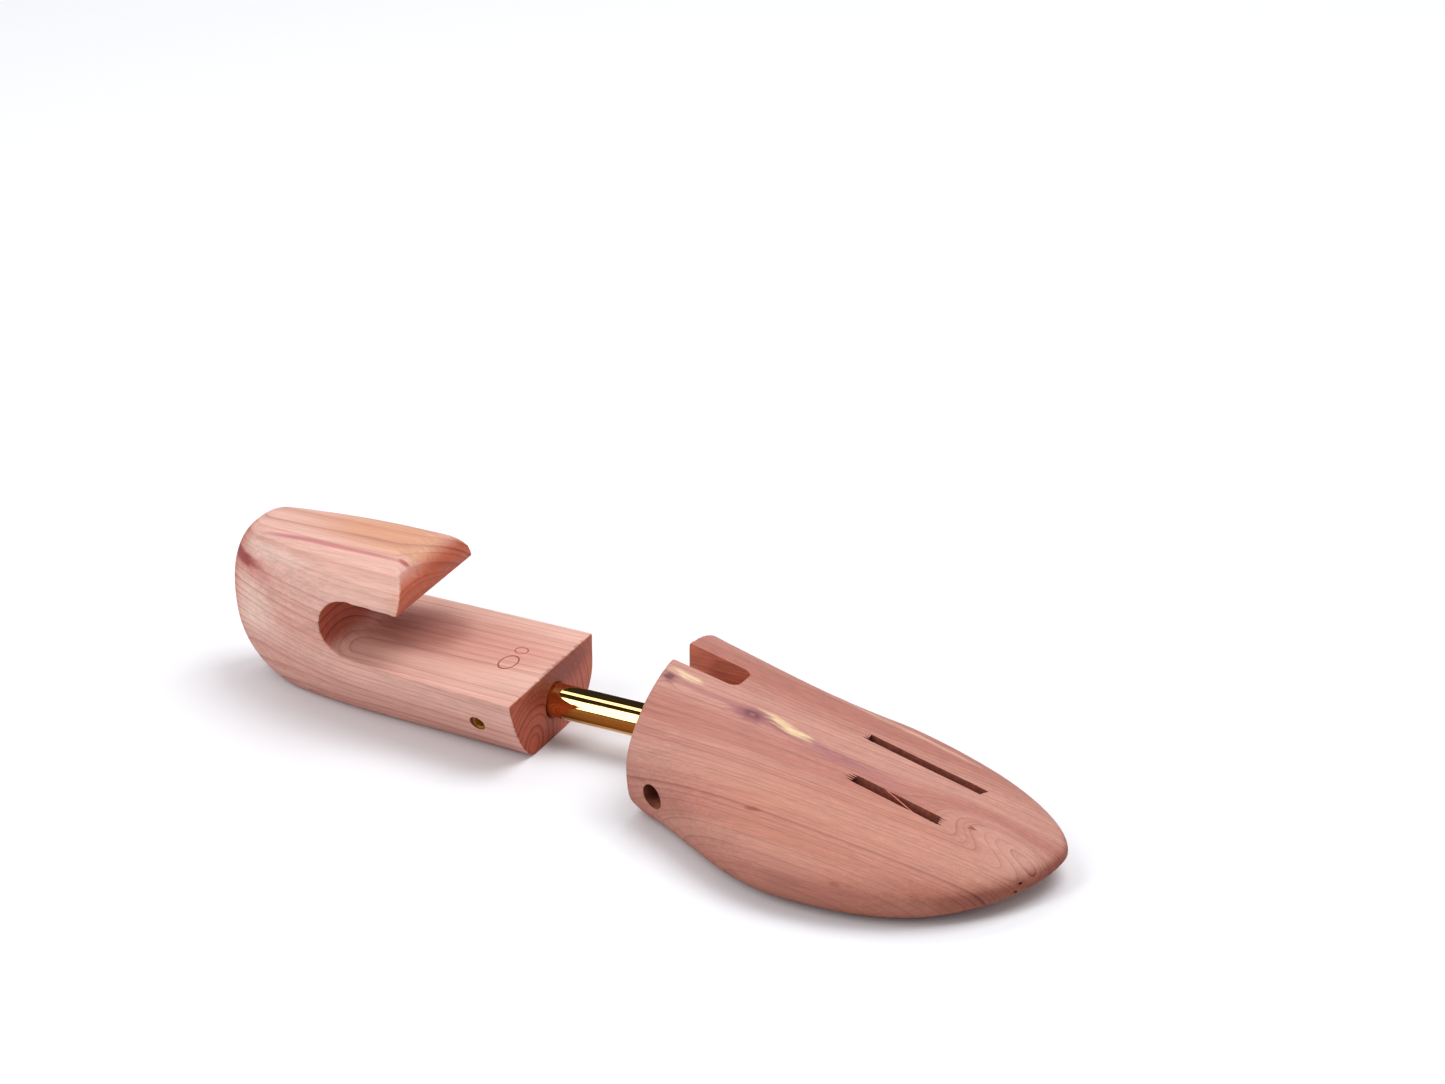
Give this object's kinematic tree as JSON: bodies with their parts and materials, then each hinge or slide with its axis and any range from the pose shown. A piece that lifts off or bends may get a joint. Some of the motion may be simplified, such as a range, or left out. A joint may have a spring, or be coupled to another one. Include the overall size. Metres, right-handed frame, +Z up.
{
  "type": "shoe tree",
  "caption": "Sprung cedar shoe tree for a left shoe: heel block with a finger handle, and a vented toe block, joined by a hinged, sliding brass-finished tube.",
  "frame": {"origin": "on the flat sole of the toe block, straight below the hinge pin and on the tube's line", "axes": "+X to the toe, +Y to the outer side of the foot, +Z up; the tube lies along X"},
  "size_m": [0.3068, 0.099, 0.0585],
  "materials": {
    "toe_cedar": "bare aromatic cedar, sanded smooth, unvarnished",
    "heel_cedar": "bare aromatic cedar, sanded smooth, unvarnished",
    "polished_brass": "polished brass plating on steel tube",
    "pin_brass": "brass-plated rolled steel",
    "pin_steel": "drawn steel",
    "spring_steel": "hard-drawn spring wire"
  },
  "bodies": {
    "toe": {"toe_block": "toe_cedar", "hinge_pin": "pin_steel"},
    "tube_body": {"tube": "polished_brass"},
    "heel": {"heel_block": "heel_cedar", "heel_pin": "pin_brass", "spring": "spring_steel"}
  },
  "joints": [
    {"name": "hinge", "type": "hinge", "parent": "toe", "child": "tube_body", "pos_m": [0, 0, 0.0135], "axis": [0, 1, 0], "range_deg": [0, 90]},
    {"name": "spring_slide", "type": "slide", "parent": "tube_body", "child": "heel", "axis": [1, 0, 0], "range_m": [0, 0.012], "stiffness_N_per_m": 2500, "springref_m": -0.008, "deforming": ["spring"]}
  ]
}
